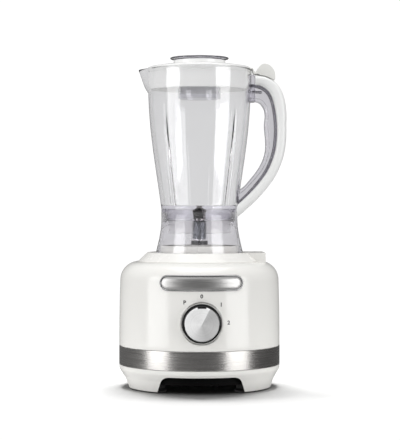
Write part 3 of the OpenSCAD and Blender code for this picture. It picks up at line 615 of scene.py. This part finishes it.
def make_dial_marks():
    """Moulded marks round the knob, each laid on the housing's curve."""
    for text, turn in DIAL_MARKS:
        curve = bpy.data.curves.new("mark_" + text, "FONT")
        curve.body = text
        curve.size = MARK_H * FONT_BODY * MM
        curve.align_x = curve.align_y = "CENTER"
        curve.extrude = 0.03 * MM
        curve.offset = 0.22 * MM
        curve.resolution_u = 6
        mark = bpy.data.objects.new("dial_mark_" + text, curve)
        scene.collection.objects.link(mark)
        x = DIAL_R * math.sin(math.radians(turn))
        z = KNOB_Z + DIAL_R * math.cos(math.radians(turn))
        place = Vector([v * MM for v in on_body(x, z, 0.04)])
        round_by = math.asin(x / body_radius(z))
        bpy.context.view_layer.update()
        mesh = bpy.data.meshes.new_from_object(mark.evaluated_get(bpy.context.evaluated_depsgraph_get()))
        mesh.transform(Matrix.Translation(place) @ Matrix.Rotation(round_by, 4, "Z") @ FACE_FRONT)
        bpy.data.objects.remove(mark)
        mark = bpy.data.objects.new("dial_mark_" + text, mesh)
        scene.collection.objects.link(mark)
        wear(mark, dark_plastic, "base", "switch_plastic")


# ---- knob ----

NOTCH_HALF, NOTCH_R = 5, KNOB_R - 1.25


def notch(a, r, z):
    """Clears the pointer's place at the top of the knob's cap."""
    if abs(math.cos(a)) * r < NOTCH_HALF and math.sin(a) > 0 and r > NOTCH_R:
        return NOTCH_R, z
    return r, z


def make_knob():
    back, face = SEAT_Y - 0.6, KNOB_SEAT
    core_r, core_y = KNOB_R - 1.4, KNOB_FRONT - 1.4
    skirt = lathe("knob_ring", rounded([
        (0, back), (RING_R, back), (RING_R, face, 0.9), (core_r, face), (core_r, core_y), (0, core_y)]),
        200, along=front_matrix(KNOB_Z))
    even(skirt)
    wear(skirt, knob_black, "knob", "knob_black", "knob_body")
    cup_r, cup_y, rim_y = core_r + 0.1, core_y + 0.05, face + 0.1
    cap = lathe("knob_disc", rounded([
        (0, cup_y), (cup_r, cup_y), (cup_r, rim_y), (KNOB_R, rim_y), (KNOB_R, KNOB_FRONT - 1.0, 0.15),
        (KNOB_R - 1.0, KNOB_FRONT, 0.15), (KNOB_R - 1.6, KNOB_FRONT - 0.12), (0, KNOB_FRONT - 0.35)], 3),
        360, notch, front_matrix(KNOB_Z))
    even(cap)
    wear(cap, knob_metal, "knob", "knob_metal", "knob_cap")
    nodes["knob_pointer"].data.materials.clear()
    nodes["knob_pointer"].data.materials.append(knob_black)


# ---- jar ----

def see_through(piece):
    """A clear piece neither darkens what is in it nor casts a solid shadow."""
    piece.visible_shadow = False
    piece.visible_diffuse = False


def skirt_line(off):
    """The skirt's outside in half section, moved out by off."""
    foot_r, waist_r = SKIRT_R + off, WAIST_R + off
    return bezier((foot_r, JAR_Z + 7.3), (foot_r - 1.4, JAR_Z + 14.5), (waist_r, JAR_Z + 30),
                  (waist_r, JAR_Z + 45), 24)


def goblet_line(off):
    """The goblet's outside in half section below its rim band, moved out by off."""
    waist_r, rim_r = WAIST_R + off, JAR_R + off
    return bezier((waist_r, JOINT_Z + 3), (waist_r + 4.4, JOINT_Z + 0.24 * GOBLET_H),
                  (rim_r - 2.2, JOINT_Z + 0.53 * GOBLET_H), (rim_r - 1.3, JOINT_Z + 0.83 * GOBLET_H), 36)


SPOUT_REACH, SPOUT_DROP, SPOUT_HALF = -low("goblet")[0] - JAR_R, 28.0, math.radians(25)
RIB_ANGLES = [math.radians(a) for a in (45, 135, 225, 315)]
RIB_DEEP, RIB_HALF, RIB_END = 4, 1.9, 0.78
LIP_Z = JOINT_Z + 0.87 * GOBLET_H
NECK_R, NECK_DROP, LEDGE_DROP = WAIST_R - 3.8, 8.4, 12
OUTSIDE = [(WAIST_R, JOINT_Z)] + goblet_line(0) + [(JAR_R, LIP_Z), (JAR_R, RIM_Z)]


def turn_between(a, b):
    return abs((a - b + math.pi) % (2 * math.pi) - math.pi)


def outside_r_at(z):
    for (r0, z0), (r1, z1) in zip(OUTSIDE, OUTSIDE[1:]):
        if z0 <= z <= z1:
            return r0 + (r1 - r0) * (z - z0) / (z1 - z0)
    return OUTSIDE[0][0] if z < OUTSIDE[0][1] else OUTSIDE[-1][0]


def goblet_shape(a, r, z):
    """Raises the ribs on the goblet's inside, deepest at its foot, and draws its rim out into the spout."""
    inner = r < outside_r_at(z) - JAR_WALL / 2 and z > JOINT_Z + 3.2
    if inner and z < RIM_Z - 30:
        share = (z - JOINT_Z) / GOBLET_H
        deep = RIB_DEEP * max(0, 1 - share / RIB_END)
        for rib in RIB_ANGLES:
            away = turn_between(a, rib) * r
            r -= deep * math.exp(-((away / RIB_HALF) ** 2))
    if z > RIM_Z - SPOUT_DROP:
        rise = (z - (RIM_Z - SPOUT_DROP)) / SPOUT_DROP
        away = turn_between(a, math.pi) / SPOUT_HALF
        if away < 1:
            push = ((1 + math.cos(math.pi * away)) / 2) ** 1.15
            r += SPOUT_REACH * push * rise ** 0.85
            z -= 1.6 * push * max(0, rise - 0.5)
    return r, z


def make_goblet():
    """The wall and, as a piece of its own because it is thick, the neck that joins it to the skirt."""
    foot_z = JOINT_Z + 8
    foot_r = outside_r_at(foot_z)
    wall_r, start_z = foot_r - JAR_WALL, foot_z + 0.04
    inside = [(wall_r, start_z)] + [p for p in goblet_line(-JAR_WALL) if p[1] > foot_z + 0.3]
    outside = [(foot_r, start_z)] + [p for p in goblet_line(0) if p[1] > foot_z + 0.3]
    sides = [LIP_Z + (RIM_Z - 1 - LIP_Z) * k / 8 for k in range(9)]
    profile = (
        outside + [(JAR_R, z) for z in sides] + [(JAR_R - 0.35, RIM_Z - 0.2), (JAR_R - 1, RIM_Z)]
        + [(JAR_R - 2, RIM_Z), (JAR_R - 2.65, RIM_Z - 0.2)]
        + [(JAR_R - JAR_WALL, z) for z in reversed(sides)] + inside[::-1])
    jar = lathe("jar_glass", profile, 480, goblet_shape)
    wear(jar, jar_clear, "jar", "jar_clear", "goblet")
    see_through(jar)
    seam_z, floor_z, hub_r, hub_z = JOINT_Z + 0.02, JOINT_Z + 3, NECK_R - 3, JOINT_Z - NECK_DROP
    neck = lathe("jar_neck", (
        [(WAIST_R - 0.3, seam_z), (WAIST_R, JOINT_Z + 0.5)]
        + [p for p in goblet_line(0) if p[1] < foot_z - 0.3] + [(foot_r, foot_z)]
        + bezier((wall_r, foot_z), (wall_r, JOINT_Z + 4.5), (wall_r, floor_z), (NECK_R - 1, floor_z), 6)
        + [(hub_r, floor_z), (hub_r, hub_z), (NECK_R, hub_z), (NECK_R, seam_z)]
    ), 288)
    wear(neck, neck_clear, "jar", "jar_clear")
    see_through(neck)


LUG_LOW, LUG_HIGH, LUG_OUT, LUG_HALF = JAR_Z + 0.5, JAR_Z + 4.5, 6, math.radians(8)
SKIRT_WALL = 2.8


def lug_shape(a, r, z):
    """The lugs stand under the goblet's ribs."""
    on_lug = min(turn_between(a, g) for g in RIB_ANGLES) < LUG_HALF
    if LUG_LOW < z < LUG_HIGH and r > SKIRT_R - 0.8 and on_lug:
        return r + LUG_OUT, z
    return r, z


def make_skirt():
    ledge_z, way_r, step_r = JOINT_Z - LEDGE_DROP, NECK_R + 0.4, NECK_R - 4
    outer = [(SKIRT_R, z) for z in (JAR_Z + 0.3, LUG_LOW, LUG_LOW + 0.02, LUG_HIGH - 0.02, LUG_HIGH)]
    inner = [p for p in reversed(skirt_line(-SKIRT_WALL)) if p[1] < ledge_z - 6]
    profile = (
        [(SKIRT_R - 0.4, JAR_Z)] + outer + skirt_line(0)
        + [(WAIST_R, JOINT_Z - 0.4), (WAIST_R - 0.4, JOINT_Z)]
        + [(way_r, JOINT_Z), (way_r, ledge_z), (step_r, ledge_z), (step_r, ledge_z - 2.5)]
        + inner + [(SKIRT_R - SKIRT_WALL, JAR_Z)])
    skirt = lathe("jar_foot", profile, 480, lug_shape)
    wear(skirt, skirt_clear, "jar", "skirt_clear", "jar_skirt")
    see_through(skirt)


# The seam between cover and frame, and the frame's side towards the fingers, as (millimetres out from the
# straight line between rim and waist, share of the way down it)
SPINE = [(2, 0.105), (14, 0.12), (23.7, 0.162), (30.3, 0.236), (35.4, 0.345), (38, 0.46),
         (37.4, 0.585), (31.2, 0.709), (19.8, 0.815), (7.2, 0.9), (-8, 0.985)]
GRIP = [(-4, 0.228), (11, 0.232), (18.7, 0.273), (21.4, 0.325), (21.7, 0.4), (24.8, 0.5),
        (25.8, 0.57), (23.6, 0.642), (18.4, 0.709), (10.4, 0.777), (3.6, 0.825), (-8, 0.87)]
SPINE_STEPS = 9
COVER_T = 11.5
COVER_W = high("handle_cover")[1] * 2
SHOULDER_T, SHOULDER_AT, SHOULDER_SPAN = 2.7, 2.4, 2
FRAME_W, FRAME_STEPS = 16.0, 80
PAD_T = 4


def on_handle(points):
    return [(JAR_R + (WAIST_R - JAR_R) * share + out, RIM_Z - share * GOBLET_H) for out, share in points]


def even_steps(line, count):
    """The same line in equal steps."""
    spans = [math.dist(p, q) for p, q in zip(line, line[1:])]
    total = sum(spans)
    out, k, past = [], 0, 0.0
    for i in range(count + 1):
        goal = total * i / count
        while k < len(spans) - 1 and past + spans[k] < goal:
            past += spans[k]
            k += 1
        t = 0 if spans[k] < 1e-9 else min(1, (goal - past) / spans[k])
        out.append(tuple(p + (q - p) * t for p, q in zip(line[k], line[k + 1])))
    return out


def side_of(line, i):
    """Unit vector square to the line at a point, pointing away from the jar."""
    p, q = line[max(i - 1, 0)], line[min(i + 1, len(line) - 1)]
    dx, dz = q[0] - p[0], q[1] - p[1]
    size = math.hypot(dx, dz)
    return -dz / size, dx / size


def jar_cutter(grow):
    """The jar's own outside, as one solid, a little larger."""
    side = [(r + grow, z) for r, z in skirt_line(0) + OUTSIDE]
    return lathe("tool", [(0, JAR_Z), (SKIRT_R + grow, JAR_Z)] + side + [(0, RIM_Z)], 240)


def cover_thickness(place):
    """The cover is thickest at the handle's shoulder; place counts the points of the spine."""
    return COVER_T + SHOULDER_T * max(0, 1 - ((place - SHOULDER_AT) / SHOULDER_SPAN) ** 2) - 0.06


def cover_outline(grow):
    """The cover in side view, moved outwards by grow at its back."""
    line = through(on_handle(SPINE), SPINE_STEPS)
    back = []
    for i, (x, z) in enumerate(line):
        nx, nz = side_of(line, i)
        thick = cover_thickness(i / SPINE_STEPS) + grow
        back.append((x + nx * thick, z + nz * thick))
    return line + back[::-1]


def make_handle_cover():
    line = through(on_handle(SPINE), SPINE_STEPS)
    rings, centres = [], []
    for i, (x, z) in enumerate(line):
        nx, nz = side_of(line, i)
        thick = cover_thickness(i / SPINE_STEPS)
        ring = []
        for k in range(40):
            a = 2 * math.pi * k / 40
            c, s = math.cos(a), math.sin(a)
            across = math.copysign(abs(c) ** 0.45, c) * COVER_W / 2
            out = thick / 2 + math.copysign(abs(s) ** 0.55, s) * thick / 2
            if s > 0:
                out -= 1.6 * (abs(across) / (COVER_W / 2)) ** 3
            ring.append((x + nx * out, across, z + nz * out))
        rings.append(ring)
        centres.append((x + nx * thick / 2, 0, z + nz * thick / 2))
    cover = sweep("grip_cover", centres, rings)
    near, far, foot, top = JAR_R - 6, JAR_R + PAD_T + 0.1, RIM_Z - 0.25 * GOBLET_H, RIM_Z + 5
    pad = slab("tool", [(near, foot), (far, foot), (far, top), (near, top)], 40, FACE_FRONT)
    cut(cover, jar_cutter(0.15), pad)
    cover.data.shade_smooth()
    soften(cover, 0.5, 3, 40)
    wear(cover, handle_white, "jar", "handle_white", "handle_cover")


def crossing(p, q, points):
    """Points of (way from p towards q, y), stood on the line that crosses the handle from spine to grip."""
    span = math.dist(p, q)
    ux, uz = (q[0] - p[0]) / span, (q[1] - p[1]) / span
    return [(p[0] + ux * d, y, p[1] + uz * d) for d, y in points]


def frame_section(span):
    """The clear frame is an I in section: a lip under the cover, a thin web and a rounded toe."""
    half, web = FRAME_W / 2, 2.4
    lip, toe, end = 2.2, span - 4.2, span - 0.4
    return rounded([
        (0.1, -half, 0.6), (lip, -half, 0.6), (lip + 0.6, -web, 0.8), (toe - 0.6, -web, 1.2),
        (toe, -half + 0.6, 1.4), (end, -half + 1.2, 1.6), (span, 0, 3), (end, half - 1.2, 1.6),
        (toe, half - 0.6, 1.4), (toe - 0.6, web, 1.2), (lip + 0.6, web, 0.8), (lip, half, 0.6),
        (0.1, half, 0.6)], 3)


def make_handle_frame():
    spine = even_steps(through(on_handle(SPINE), 8), FRAME_STEPS)
    grip = even_steps(through(on_handle(GRIP), 8), FRAME_STEPS)
    pairs = list(zip(spine, grip))
    centres = [((p[0] + q[0]) / 2, 0, (p[1] + q[1]) / 2) for p, q in pairs]
    arm = sweep("grip_frame", centres, [crossing(p, q, frame_section(math.dist(p, q))) for p, q in pairs])
    cut(arm, jar_cutter(0.15))
    arm.data.shade_smooth()
    even(arm)
    wear(arm, handle_clear, "jar", "handle_clear", "handle_frame")
    see_through(arm)
    # A darker clear strip along the spine, painted shade: it stands for the shadow line where cover meets
    # frame.
    half, near, far = FRAME_W / 2 + 0.4, 0.15, 2.0
    strip = [(near, -half), (far, -half), (far, half), (near, half)]
    seam = sweep("grip_shade_line", [crossing(p, q, [(1, 0)])[0] for p, q in pairs],
                 [crossing(p, q, strip) for p, q in pairs])
    cut(seam, jar_cutter(0.3))
    wear(seam, shade_line_clear, "jar", "handle_clear")
    see_through(seam)
    near, far, foot, top = JAR_R - 6, JAR_R + PAD_T, RIM_Z - 0.228 * GOBLET_H, high("handle_frame")[2]
    pad = slab("grip_pad", rounded([(near, foot, 0.5), (far, foot, 1), (far, top, 1.5), (near, top, 0.5)]),
               COVER_W, FACE_FRONT)
    cut(pad, jar_cutter(0.12))
    soften(pad, 0.5, 2, 40)
    wear(pad, handle_clear, "jar", "handle_clear")
    see_through(pad)


def make_lid():
    lid_r, lip_r = JAR_R - JAR_WALL - 0.7, high("lid")[0]
    groove_r, inside_r = lid_r - 1.3, lid_r - 2.6
    foot, seat, top = low("lid")[2], RIM_Z + 0.05, RIM_Z + 6
    hole_r, hole_foot = 25.9, top - 12
    upstand_r, upstand_z = hole_r + 5, high("lid")[2]
    mid = (lip_r + upstand_r) / 2
    skirt = [(lid_r - 0.6, foot, 0.5), (lid_r, foot + 2, 1), (lid_r, RIM_Z - 4.2, 0.3)]
    groove = [(groove_r, RIM_Z - 3.8, 0.3), (groove_r, seat, 0.3)]
    lip = [(lip_r, seat, 0.2), (lip_r, RIM_Z + 1.6, 0.9), (lip_r - 3, RIM_Z + 2.8, 2), (mid, top - 1.2, 4)]
    upstand = [(upstand_r, top, 0.8), (upstand_r, upstand_z, 0.7), (hole_r, upstand_z, 0.7)]
    hole = [(hole_r, hole_foot), (hole_r + 2, hole_foot), (hole_r + 2, top - 2.6, 1)]
    under = [(mid, top - 3.8, 2), (inside_r, RIM_Z, 1), (inside_r, foot)]
    profile = rounded(skirt + groove + lip + upstand + hole + under)
    lid = lathe("lid_shell", profile, 300)
    even(lid)
    wear(lid, lid_white, "lid", "lid_white", "lid")


# The tab's top in side view, (out from the jar's wall, up from its rim)
TAB_LINE = [(-2.6, 1.6), (0.8, 1.2), (3.4, -3), (6, -1.4), (9.2, 3.6), (13, 6.2), (17.5, 6.4), (22, 4.2),
            (25.6, 0.4), (27.4, -3.4), (28.2, -9)]


def make_tab():
    over_pad = COVER_T + 0.65 - 0.105 * GOBLET_H
    under = [(27.6, -12.3), (16, -12.3), (8, over_pad), (2.4, over_pad), (1.4, -3), (0.8, 0.15), (-2.6, 0.15)]
    outline = [(JAR_R + x, RIM_Z + z) for x, z in through(TAB_LINE, 6) + under]
    tab = slab("thumb_tab", outline, high("lid_lock_tab")[1] * 2 - 0.1, FACE_FRONT)
    cut(tab, slab("tool", cover_outline(0.12), 40, FACE_FRONT))
    rim_r, below, above = JAR_R - 0.6, RIM_Z - 30, RIM_Z + 30
    cut(tab, lathe("tool", [(0, below), (rim_r, below), (rim_r, above), (0, above)], 160))
    tab.data.shade_smooth()
    soften(tab, 1.4, 4, 50)
    wear(tab, tab_white, "lid", "tab_white", "lid_lock_tab")


def make_cap():
    outer = (high("measuring_cap")[0] - low("measuring_cap")[0]) / 2
    cup_r = 25.5
    inside_r, seat_r = cup_r - 2, cup_r + 4.4
    stand, foot = high("lid")[2], low("measuring_cap")[2]
    cup = [(inside_r, foot, 0.5), (cup_r, foot, 0.5), (cup_r, stand)]
    seat = [(seat_r, stand + 0.05, 0.2), (seat_r, stand + 0.7), (outer - 5, stand + 0.8, 1)]
    flange = [(outer - 0.8, stand + 1.6, 0.8), (outer, stand + 2.3, 0.6), (outer, stand + 2.9, 0.6),
              (outer - 0.8, stand + 3.4, 0.6), (outer - 5, stand + 3.6, 2)]
    top = [(0, stand + 4.35), (0, stand + 0.8), (inside_r, stand + 0.8, 1.5)]
    cap = lathe("cap_clear_cup", rounded(cup + seat + flange + top, 4), 300)
    even(cap)
    wear(cap, cap_clear, "cap", "cap_clear", "measuring_cap")
    see_through(cap)


def dress(material, *names, bevel=0.0):
    """Gives CAD nodes that keep their own shape a better material and, where they show, softer edges."""
    for name in names:
        node = nodes[name]
        node.data.materials.clear()
        node.data.materials.append(material)
        if bevel:
            soften(node, bevel, 2, 38)


make_housing()
make_band()
make_plinth()
make_badge()
make_dial_marks()
make_knob()
make_goblet()
make_skirt()
make_handle_cover()
make_handle_frame()
make_lid()
make_tab()
make_cap()

dress(white_satin, "lock_collar", bevel=0.5)
dress(pan_black, "base_pan", bevel=0.3)
dress(rubber_black, "rubber_feet", bevel=0.4)
dress(rubber_black, "seat_ring", "shaft_seal", "cord_gland", "motor_bushes")
dress(pan_black, "base_screws")
dress(plain_steel, "motor_screws", "handle_screws", "switch_spindle", "motor_shaft", "blade_shaft",
      "shaft_clip", "plunger_spring", "upper_bearing", "lower_bearing", "drive_dog")
dress(dark_plastic, "rotary_switch", "interlock_switch", "brush_holders", "cooling_fan", "coupling_nut")
dress(board, "speed_board")
dress(core_steel, "stator_core", "armature_core")
dress(copper, "field_coils", "armature_windings", "commutator")
dress(cast_metal, "upper_bracket", "lower_bracket")
dress(carbon, "carbon_brushes")
dress(nylon_red, "interlock_plunger")
dress(nylon, "driven_dog", bevel=0.3)
dress(carrier_frost, "blade_carrier")
dress(neck_clear, "carrier_seal")
dress(lid_white, "lid_gasket")
dress(core_steel, "blade_bush")
dress(blade_steel, "lower_blade", "upper_blade", "blade_spacer", "blade_nut", bevel=0.2)


# ---- studio ----

def make_floor():
    bm = bmesh.new()
    bmesh.ops.create_circle(bm, cap_ends=True, radius=0.26, segments=96)
    floor = add_mesh("floor", bm)
    floor.data.materials.append(finish_of("floor_paper", (0.45, 0.45, 0.448), 0.6, shade=0.99, ripple=0.02))
    floor.visible_glossy = False
    return floor


def area_light(name, place, aim, width, height, glow):
    """A rectangular softbox: glow is its radiance."""
    data = bpy.data.lights.new(name, "AREA")
    data.shape = "RECTANGLE"
    data.size, data.size_y = width, height
    data.energy = glow * math.pi * width * height
    light = bpy.data.objects.new(name, data)
    scene.collection.objects.link(light)
    light.location = place
    light.rotation_mode = "QUATERNION"
    light.rotation_quaternion = (Vector(aim) - Vector(place)).to_track_quat("-Z", "Y")
    light.visible_camera = False
    return light


floor = make_floor()

CAMERA_TURN = math.radians(-1.6)
BOX_FAR = 1.6
SOFTBOXES = (("softbox_left", -60.3, 0.95), ("softbox_right", 54, 1.0))
BOX_H, BOX_Z, BOX_GLOW = 1.1, 0.4, 3.75
boxes = []
for name, turn, width in SOFTBOXES:
    a = CAMERA_TURN + math.radians(turn)
    place = (BOX_FAR * math.sin(a), -BOX_FAR * math.cos(a), BOX_Z)
    boxes.append(area_light(name, place, (0, 0, 0.3), width, BOX_H, BOX_GLOW))
boxes.append(area_light("top_box", (0, -0.1, 1.7), (0, 0, 0.2), 1.3, 1.3, 2.2))
wash = area_light("floor_wash", (0, 0.5, 2.2), (0, 0, 0), 1.1, 0.6, 66)
wash.visible_glossy = False
wash.visible_transmission = False

only_floor = bpy.data.collections.new("floor_only")
only_floor.objects.link(floor)
wash.light_linking.receiver_collection = only_floor
not_floor = bpy.data.collections.new("not_floor")
not_floor.objects.link(floor)
not_floor.collection_objects[0].light_linking.link_state = "EXCLUDE"
for box in boxes:
    box.light_linking.receiver_collection = not_floor


def make_world():
    world = bpy.data.worlds.new("studio")
    world.use_nodes = True
    scene.world = world
    tree = world.node_tree
    back = tree.nodes["Background"]
    path = tree.nodes.new("ShaderNodeLightPath")
    where = tree.nodes.new("ShaderNodeTexCoord")
    split = tree.nodes.new("ShaderNodeSeparateXYZ")
    tree.links.new(where.outputs["Generated"], split.inputs["Vector"])
    sky = tree.nodes.new("ShaderNodeMapRange")
    sky.inputs["From Min"].default_value, sky.inputs["From Max"].default_value = -1, 1
    tree.links.new(split.outputs["Z"], sky.inputs["Value"])
    ramp = tree.nodes.new("ShaderNodeValToRGB")
    stops = ramp.color_ramp.elements
    for place, level in ((0, 0.5), (0.3, 0.45), (0.42, 0.15), (0.62, 0.13), (0.75, 0.4), (1, 0.6)):
        stop = stops.new(place)
        stop.color = (level, level, level, 1)
    stops.remove(stops[-1])
    stops.remove(stops[0])
    tree.links.new(sky.outputs["Result"], ramp.inputs["Fac"])

    def pick(chosen, other, factor):
        mix = tree.nodes.new("ShaderNodeMix")
        mix.inputs["A"].default_value = 0
        tree.links.new(factor, mix.inputs["Factor"])
        tree.links.new(other, mix.inputs["A"])
        mix.inputs["B"].default_value = chosen
        return mix.outputs["Result"]

    left = tree.nodes.new("ShaderNodeMath")
    left.operation = "MULTIPLY_ADD"
    left.inputs[1].default_value, left.inputs[2].default_value = -0.35, 1.0
    tree.links.new(split.outputs["X"], left.inputs[0])
    level = tree.nodes.new("ShaderNodeMath")
    level.operation = "MULTIPLY"
    tree.links.new(ramp.outputs["Color"], level.inputs[0])
    tree.links.new(left.outputs["Value"], level.inputs[1])
    level = pick(0.74, level.outputs["Value"], path.outputs["Is Transmission Ray"])
    level = pick(1.05, level, path.outputs["Is Camera Ray"])
    tree.links.new(level, back.inputs["Strength"])
    back.inputs["Color"].default_value = (1, 1, 1, 1)


make_world()

CAMERA_FAR, CAMERA_Z = 1.812, 0.2212
FOCAL_PX, FRAME_LONG_PX = 1510, 440
SIDE_AIM, DOWN_AIM = 0.6 / FOCAL_PX, 18 / FOCAL_PX


def make_camera():
    data = bpy.data.cameras.new("camera")
    data.sensor_width = 36
    data.lens = FOCAL_PX * 36 / FRAME_LONG_PX
    data.clip_start, data.clip_end = 0.1, 20
    camera = bpy.data.objects.new("camera", data)
    scene.collection.objects.link(camera)
    ahead = Vector((-math.sin(CAMERA_TURN), math.cos(CAMERA_TURN), 0))
    right = Vector((math.cos(CAMERA_TURN), math.sin(CAMERA_TURN), 0))
    camera.location = -ahead * CAMERA_FAR + Vector((0, 0, CAMERA_Z))
    camera.rotation_mode = "QUATERNION"
    aim = ahead + right * SIDE_AIM - Vector((0, 0, DOWN_AIM))
    camera.rotation_quaternion = aim.to_track_quat("-Z", "Y")
    scene.camera = camera


make_camera()
scene.view_settings.view_transform = "Standard"
scene.cycles.caustics_reflective = False
scene.cycles.caustics_refractive = False
scene.cycles.max_bounces = 24
scene.cycles.transmission_bounces = 22
scene.cycles.transparent_max_bounces = 12
scene.cycles.glossy_bounces = 6
